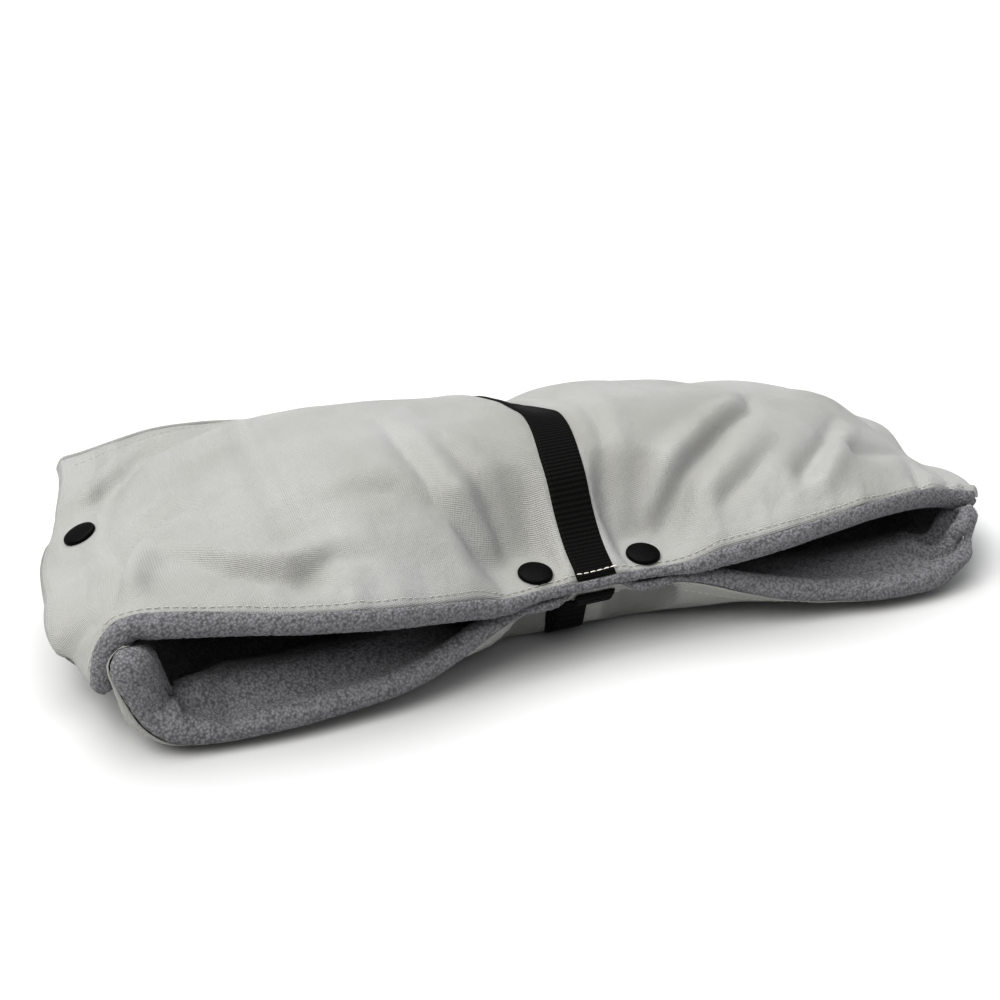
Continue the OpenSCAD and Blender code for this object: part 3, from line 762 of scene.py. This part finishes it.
def fleece(name, kind):
    """The lining: it starts under the cover's edge, rolls round the front and runs back inside."""
    cols = columns(FINE, FLEECE_HEM)
    v, edge_v = depth_rows(kind, np.concatenate([np.arange(0, FINE_DEPTH, FINE),
                                                 np.arange(FINE_DEPTH, PANEL_RUN, COARSE), [PANEL_RUN]]))
    rows_v = np.concatenate([np.full(len(FLEECE_ROLL), edge_v), v[1:]])
    rows_roll = np.concatenate([FLEECE_ROLL, np.full(len(v) - 1, 180)])

    folds = lining_relief(kind)

    def seat(p, roll, hem, arc_x, reach):
        tucked = -1.4 * (1 - rise(roll - COVER_TURN[kind], -8, 14)) - 1.3 * rise(hem, 70, 78)
        return tucked + folds(p, roll, hem, arc_x, reach)

    def bump(p, roll, hem, arc_x, reach):
        curl = nubs(arc_x + 0.5 * value_noise(arc_x, reach, 3, 3), reach, CURL_SIZE, 5)
        puff = 0.9 * np.sin(np.radians(np.clip(roll, 0, 180))) ** 0.7
        wave = 0.7 * value_noise(arc_x, reach, 26, 21) * np.sin(np.radians(roll / 2))
        # The curl height, kept as the nap attribute, which the fleece material uses to paint shade between the
        # curls.
        bump.nap = curl
        return 0.75 * (curl - 0.5) + puff + wave + seat(p, roll, hem, arc_x, reach)
    outer, uvs = place(kind, cols, (rows_v, rows_roll), 0.0, bump)
    nap = bump.nap
    inner, _ = place(kind, cols, (rows_v, rows_roll), FLEECE_T, seat)
    return solid(name, outer, inner, uvs, nap)


def round_fold(name, depth_out, depth_in, step, with_hem, nap_size=None, shorter=0.0):
    """A layer of the fold between the two seams, ending short of the cover's ends by shorter."""
    cols = columns(step, HEM if with_hem else [])
    vs = np.linspace(0, 1, 25)
    rows = np.zeros(len(vs))
    top_half, bottom_half = vs <= 0.5, vs > 0.5

    def grid(inset):
        a, uv_a = place("top", cols, (1 + vs[top_half], rows[top_half]), inset)
        b, uv_b = place("bottom", cols, (vs[bottom_half] - 1, rows[bottom_half]), inset)
        uv_b = uv_b + np.array([0, 400.0])
        return np.concatenate([a, b], 1), np.concatenate([uv_a, uv_b], 1)
    outer, uvs = grid(depth_out)
    inner, _ = grid(depth_in)
    # Curl height as the nap attribute, which the fleece material uses to paint shade between the curls.
    nap = nubs(uvs[..., 0], uvs[..., 1], nap_size, 5) if nap_size else None
    along = np.maximum(abs(cols[0][:-1]), abs(cols[0][1:])) <= HALF_LEN - shorter
    mask = along[:, None] & np.ones((1, len(vs) - 1), bool)
    return solid(name, outer, inner, uvs, nap, mask)


def wadding(name, kind):
    """The filling, left out where a press stud pinches the panel, and sunk under each crease of the cover and
    each fold of the lining."""
    cols = columns(2.0, [])
    v, edge_v = depth_rows(kind, np.concatenate([[3, 6, 9], np.arange(11, PANEL_RUN, 2.0), [PANEL_RUN]]))
    over, under = cover_relief(kind), lining_relief(kind)

    def sunk(relief, share):
        def bump(p, roll, hem, arc_x, reach):
            t = thickness(kind, p)
            dip = np.maximum(1.2 * np.minimum(0, relief(p, roll, hem, arc_x, reach)), np.minimum(0, 5.6 - t))
            return share * (1 - t / PANEL_T) + dip
        return bump
    rows_v = np.concatenate([[edge_v] * 2, v])
    outer, uvs = place(kind, cols, (rows_v, [80, 40] + [0] * len(v)), 2.6, sunk(over, 1.6))
    inner, _ = place(kind, cols, (rows_v, [100, 140] + [180] * len(v)), FLEECE_T + 0.7, sunk(under, 0.7))
    thick = thickness(kind, outer) > 7.4
    mask = thick[1:, 1:] & thick[:-1, 1:] & thick[1:, :-1] & thick[:-1, :-1]
    return solid(name, outer, inner, uvs, mask=mask)


# ------------ webbing
STRAP_ACROSS = np.linspace(-0.5, 0.5, 27)
STRAP_EDGE = 1 - np.clip((abs(STRAP_ACROSS) - 0.44) / 0.06, 0, 1) ** 2      # rounded selvedges
STRAP_SUNK = 0.3            # depth of the webbing's inner face below the cloth's


def webbing(name, kind, vs, drift=0.0, lift=0.0, centre=0.0, width=STRAP_W):
    """Webbing along a panel's outer face, centred on x = centre; its ribs are in the material."""
    xs = centre + width * STRAP_ACROSS
    relief = cover_relief(kind)
    v = np.asarray(vs, float)
    run = PANEL_RUN * v
    shift = drift * ease((v - 0.7) / 0.3)
    if kind == "top":
        shift = strap_axis(point(kind, np.zeros(len(v)), v)[:, 1])

    def grid(extra):
        out = []
        for k, value in enumerate(v):
            p, _ = place(kind, (xs + shift[k], np.zeros(len(xs)), np.ones(len(xs))), ([value], [0]), 0.0,
                         lambda p, roll, hem, ax, r: np.mean(relief(p, roll, hem, ax, r), 0) + extra)
            out.append(p[:, 0])
        return np.stack(out, 1)
    top = grid((lift + STRAP_T * STRAP_EDGE)[:, None])
    low = grid(np.full((len(xs), 1), lift - STRAP_SUNK))
    keep_above_floor(top, low)
    uvs = np.stack(np.broadcast_arrays(xs[:, None], run[None, :]), -1)
    return solid(name, top, low, uvs)


def strap_round_fold(name):
    """The webbing between the two seams, round the fold."""
    xs = STRAP_W * STRAP_ACROSS
    cols = (xs, np.zeros(len(xs)), np.ones(len(xs)))
    vs = np.linspace(0, 1, 49)
    first, second = vs[vs <= 0.5], vs[vs > 0.5]
    height = STRAP_T * STRAP_EDGE[:, None] * np.ones(len(vs))

    def grid(extra):
        cut = len(first)
        a, _ = place("top", cols, (1 + first, np.zeros(cut)), 0.0, lambda *_: extra[:, :cut])
        b, _ = place("bottom", cols, (second - 1, np.zeros(len(second))), 0.0, lambda *_: extra[:, cut:])
        return np.concatenate([a, b], 1)
    uvs = np.stack(np.broadcast_arrays(xs[:, None], 70 * vs[None, :]), -1)
    return solid(name, grid(height), grid(np.full(height.shape, -STRAP_SUNK)), uvs)


# ------------ threads
def stitches(name, path, normals, length=2.7, gap=1.0, radius=0.2):
    """Separate short stitches along a path; each dips into the cloth at both ends."""
    points, faces = [], []
    sides, rings = 8, 7
    t = np.linspace(-1, 1, rings)
    r = radius * np.sqrt(np.clip(1 - np.abs(t) ** 3, 0.05, 1))
    steps = np.linalg.norm(np.diff(path, axis=0), axis=1)
    run = np.concatenate([[0], np.cumsum(steps)])
    for start in np.arange(0.3, run[-1] - length, length + gap):
        base = len(points)
        at_run = np.linspace(start, start + length, rings)
        centre = np.stack([np.interp(at_run, run, path[:, k]) for k in range(3)], 1)
        up = unit(np.stack([np.interp(at_run, run, normals[:, k]) for k in range(3)], 1))
        centre = centre + up * (radius * 1.3 * (1 - t ** 4) - radius * 0.7)[:, None]
        along = unit(np.gradient(centre, axis=0))
        sidewise = unit(np.cross(along, up))
        lifted = np.cross(sidewise, along)
        for k in range(rings):
            for s in range(sides):
                angle = TAU * s / sides
                way = math.cos(angle) * sidewise[k] + math.sin(angle) * lifted[k]
                points.append(centre[k] + r[k] * way)
        for k in range(rings - 1):
            for s in range(sides):
                n = (s + 1) % sides
                faces.append([base + k * sides + s, base + k * sides + n,
                              base + (k + 1) * sides + n, base + (k + 1) * sides + s])
        for end in (0, rings - 1):
            ring = [base + end * sides + s for s in range(sides)]
            ring = ring if end else ring[::-1]
            for quad in ((0, 1, 2, 3), (0, 3, 4, 7), (4, 5, 6, 7)):
                faces.append([ring[q] for q in quad])
    return make_object(name, np.array(points), np.array(faces))


def stitch_path(kind, x_from, x_to, v, lift=0.0, step=1.0):
    """Points and normals along a panel's outer face."""
    xs = np.linspace(x_from, x_to, max(2, int(abs(x_to - x_from) / step)))
    relief = cover_relief(kind)
    cols = (xs, np.zeros(len(xs)), np.ones(len(xs)))

    def bump(*where):
        return relief(*where) + lift
    low, _ = place(kind, cols, ([v], [0]), 0.0, bump)
    high, _ = place(kind, cols, ([v], [0]), -1.0, bump)
    return low[:, 0], (high - low)[:, 0]


# ------------ press stud caps
def lathe(name, profile, segments=72):
    """A turned solid from (radius, height) pairs; the first and last lie on the axis."""
    rings = profile[1:-1]
    turns = [TAU * s / segments for s in range(segments)]
    points = [(0, 0, profile[0][1])]
    for r, z in rings:
        points += [(r * math.cos(turn), r * math.sin(turn), z) for turn in turns]
    points.append((0, 0, profile[-1][1]))
    faces = []
    last = len(points) - 1
    for s in range(segments):
        n = (s + 1) % segments
        faces.append([0, 1 + n, 1 + s])
        for k in range(len(rings) - 1):
            a, b = 1 + k * segments, 1 + (k + 1) * segments
            faces.append([a + s, a + n, b + n, b + s])
        top = 1 + (len(rings) - 1) * segments
        faces.append([top + s, top + n, last])
    mesh = bpy.data.meshes.new(name)
    mesh.from_pydata([Vector(p) * MM for p in points], [], faces)
    for polygon in mesh.polygons:
        polygon.use_smooth = True
    obj = bpy.data.objects.new(name, mesh)
    bpy.context.scene.collection.objects.link(obj)
    return obj


def cap_profile(radius, height):
    """A low convex dome with a rounded rim."""
    rim_r, crown_h = 0.7, 0.75
    shoulder = height - crown_h
    rim = [(radius - rim_r + rim_r * math.sin(a), rim_r - rim_r * math.cos(a))
           for a in np.linspace(0, math.pi / 2, 7)]
    dome = [(radius * math.cos(a) ** 0.85,
             rim_r + (shoulder - rim_r) * min(1, a * 3) + crown_h * math.sin(a) ** 0.8)
            for a in np.linspace(0.12, 1.45, 16)]
    return [(0, 0.0), (radius - 2, 0.0)] + rim + dome + [(0, height)]


def stud_places():
    """Each press stud's name, the place of its cap on the top panel, and its tilt."""
    for side, sign in (("left", -1), ("right", 1)):
        yield f"front_{side}", (sign * FRONT_STUD_X, STUD_Y_FRONT, FRONT_SEAT_Z), (FRONT_TILT, 0, 0)
        yield f"end_{side}", (sign * END_STUD_X, STUD_Y_END, END_SEAT_Z), (0, sign * END_TILT, 0)


def build_studs():
    """A cap above and a base below at each press stud, turned over for the base."""
    for where, seat, tilt in stud_places():
        turn = Euler(tilt).to_matrix()
        axis = turn @ Vector((0, 0, 1))
        for part, body, at_seat, radius, height, flip in (
                ("cap", "top_panel", 0.0, CAP_R, CAP_H, False),
                ("base", "bottom_panel", STACK_T, BASE_R, BASE_H, True)):
            obj = lathe(f"{part}_{where}_moulding", cap_profile(radius, height))
            rotation = turn.to_4x4()
            if flip:
                rotation = rotation @ Euler((math.pi, 0, 0)).to_matrix().to_4x4()
            obj.data.transform(rotation)
            shift = (Vector(seat) - axis * at_seat) * MM
            for vertex in obj.data.vertices:
                vertex.co += shift
            finish_piece(obj, STUD, body, [f"{part}_{where}"])


# ------------ build everything
for layer, make, material, slot, node in (("cover", cover, SHELL, "shell_fabric", "shell"),
                                          ("fleece", fleece, FLEECE, "fleece", "lining"),
                                          ("wadding", wadding, WADDING, "wadding", "padding")):
    for kind in ("top", "bottom"):
        name = f"{kind}_{layer}"
        finish_piece(make(name, kind), material, f"{kind}_panel", [f"{kind}_{node}"])

LINING_DEPTH = PANEL_T - FLEECE_T
fold_cover = finish_piece(round_fold("fold_cover", 0.0, SHELL_T, 2.0, True), SHELL,
                          replaces=["spine_shell_upper", "spine_shell_lower"])
fold_wadding = finish_piece(round_fold("fold_wadding", 1.0, LINING_DEPTH - 0.4, 6.0, False, shorter=10.0),
                            WADDING)
fold_fleece = finish_piece(round_fold("fold_fleece", LINING_DEPTH, PANEL_T, 3.0, False, 2.3), FLEECE)
for layer_piece in (fold_cover, fold_wadding, fold_fleece):
    bend_round_fold(layer_piece)

STRAP_ROW = 0.008           # rows of the webbing's mesh, along v
for name, kind, rows, shape, node in (
        ("strap_over", "top", np.append(np.arange(0.002, 1, STRAP_ROW), 1), {}, "strap_top"),
        ("strap_under", "bottom", np.arange(0, 0.99, STRAP_ROW), {"drift": STRAP_DRIFT}, "strap_bottom"),
        ("strap_end_tab_fold", "bottom", np.linspace(0.976, 0.9985, 6),
         {"lift": STRAP_T * 0.7, "centre": -1, "width": 21}, "strap_end_tab")):
    finish_piece(webbing(name, kind, rows, **shape), WEBBING, f"{kind}_panel", [node])
fold_strap = finish_piece(strap_round_fold("strap_round_fold"), WEBBING,
                          replaces=["strap_spine_upper", "strap_spine_lower"])
bend_round_fold(fold_strap)

HEM_V, SEAM_V, SEWN_X = 3.0 / PANEL_RUN, 8.0 / PANEL_RUN, 228
# Each row of stitches: name, panel, thread, path (from, to, place along v, lift), stitch sizes, CAD node.
for name, kind, thread, path, sizes, node in (
        ("hem_stitches_top", "top", THREAD, (-SEWN_X, SEWN_X, HEM_V), (), "topstitch_top_front"),
        ("seam_stitches_top", "top", THREAD, (-SEWN_X, SEWN_X, 1 - SEAM_V), (), "topstitch_top_spine"),
        ("strap_bar_top", "top", BAR_THREAD, (-10.4, 10.4, 0.0125, STRAP_T + 0.25), (3.2, 0.15, 0.33),
         "strap_stitch_top"),
        ("hem_stitches_bottom", "bottom", THREAD, (-SEWN_X, SEWN_X, 1 - HEM_V), (), "topstitch_bottom_front"),
        ("seam_stitches_bottom", "bottom", THREAD, (-SEWN_X, SEWN_X, SEAM_V), (), "topstitch_bottom_spine"),
        ("strap_bar_bottom", "bottom", BLACK_THREAD, (-10, 8, 0.988, 1.7 * STRAP_T), (),
         "strap_stitch_bottom")):
    row = stitches(name, *stitch_path(kind, *path), *sizes)
    finish_piece(row, thread, f"{kind}_panel", [node])

build_studs()
for name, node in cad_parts.items():
    for prefix, material in (("socket_", STUD), ("stud_", STUD), ("spring_", STEEL)):
        if name.startswith(prefix):
            node.data.materials.clear()
            node.data.materials.append(material)

# ------------ floor, light and camera
FLOOR_HALF, FLOOR_GAP = 8, 0.0004
floor_mesh = bpy.data.meshes.new("floor")
corners = ((-1, -1), (1, -1), (1, 1), (-1, 1))
floor_mesh.from_pydata([(FLOOR_HALF * x, FLOOR_HALF * y, 0) for x, y in corners], [], [(0, 1, 2, 3)])
floor = bpy.data.objects.new("floor", floor_mesh)
bpy.context.scene.collection.objects.link(floor)
floor.location.z = cad_low.z - FLOOR_GAP
floor.data.materials.append(plain_material("pale_floor", (0.62, 0.62, 0.615), (0.63, 0.63, 0.625), 0.85, 4, 0.0,
                                           specular=0.0))


def sun_light(name, azimuth, elevation, angle, strength, colour):
    """A broad, even lamp. Azimuth 0 shines from the front of the muff and 90 from its left."""
    data = bpy.data.lights.new(name, "SUN")
    data.angle, data.energy, data.color = math.radians(angle), strength, colour
    light = bpy.data.objects.new(name, data)
    a, e = math.radians(azimuth), math.radians(elevation)
    towards = Vector((-math.sin(a) * math.cos(e), -math.cos(a) * math.cos(e), math.sin(e)))
    light.rotation_euler = towards.to_track_quat("Z", "Y").to_euler()
    bpy.context.scene.collection.objects.link(light)


def height_band(sky, height, low, high, at_low, at_high):
    """A strength that changes smoothly between two heights of the sky."""
    return sky.add("ShaderNodeMapRange", "Result", {"Value": height, "From Min": low, "From Max": high,
                                                    "To Min": at_low, "To Max": at_high},
                   interpolation_type="SMOOTHSTEP")


world = bpy.data.worlds.new("studio")
bpy.context.scene.world = world
sky = Graph(world)
sky_height = sky.split(sky.add("ShaderNodeTexCoord", "Generated"))["Z"]
# Bright overhead and dim towards the horizon, like a wide soft box.
spread = height_band(sky, sky_height, 0.0, 0.8, 0.22, 0.80)
# A pale strip just above the horizon, which low views look into.
strip = height_band(sky, sky_height, 0.07, 0.16, 0.85, 0.0)
sky.feed(sky.nodes["Background"], {"Color": (0.95, 0.97, 1.0, 1),
                                   "Strength": sky.math("ADD", spread, strip)})
sun_light("key", 62, 52, 45, 2.5, (1.0, 0.985, 0.955))
sun_light("top_fill", 168, 66, 60, 1.9, (0.98, 0.99, 1.0))

camera_data = bpy.data.cameras.new("camera")
camera = bpy.data.objects.new("camera", camera_data)
bpy.context.scene.collection.objects.link(camera)
CAMERA_AZIMUTH, CAMERA_ELEVATION = math.radians(22.87), math.radians(23.12)
camera_data.sensor_width = 36
camera_data.lens = 67.4
camera.location = (-0.3363, -0.7828, 0.4023)
camera.rotation_euler = (math.pi / 2 - CAMERA_ELEVATION, 0, -CAMERA_AZIMUTH)
bpy.context.scene.camera = camera
bpy.context.scene.view_settings.view_transform = "Standard"
bpy.context.scene.view_settings.gamma = 0.78
